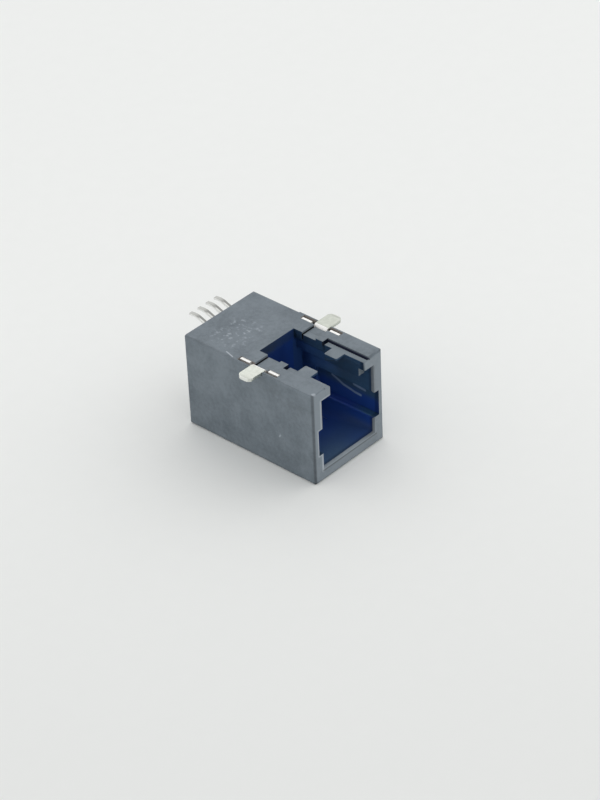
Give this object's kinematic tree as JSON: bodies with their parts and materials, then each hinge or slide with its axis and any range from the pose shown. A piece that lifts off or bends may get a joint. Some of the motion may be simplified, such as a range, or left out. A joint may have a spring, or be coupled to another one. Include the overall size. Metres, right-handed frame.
{
  "type": "pcb modular jack",
  "caption": "Surface-mount modular jack: dark moulded housing with an open plug mouth, a latch opening with stops, tinned side hold-downs and flat solder tails.",
  "frame": {"origin": "under the middle of the housing, on its closed face, which the part lies on", "axes": "+Z out of the board face, -Y out of the plug mouth, +X across the housing"},
  "size_m": [0.0146, 0.0203, 0.0114],
  "materials": {
    "housing_plastic": "fine spark-eroded moulding texture, slate black",
    "block_plastic": "plain moulded, black",
    "contact_strip": "tin-plated tails, gold-plated springs",
    "tinned_sheet": "matte tin plating"
  },
  "bodies": {
    "root": {"housing": "housing_plastic", "contact_block": "block_plastic", "contact_1": "contact_strip", "contact_2": "contact_strip", "contact_3": "contact_strip", "contact_4": "contact_strip", "hold_down_left": "tinned_sheet", "hold_down_right": "tinned_sheet"}
  },
  "joints": []
}
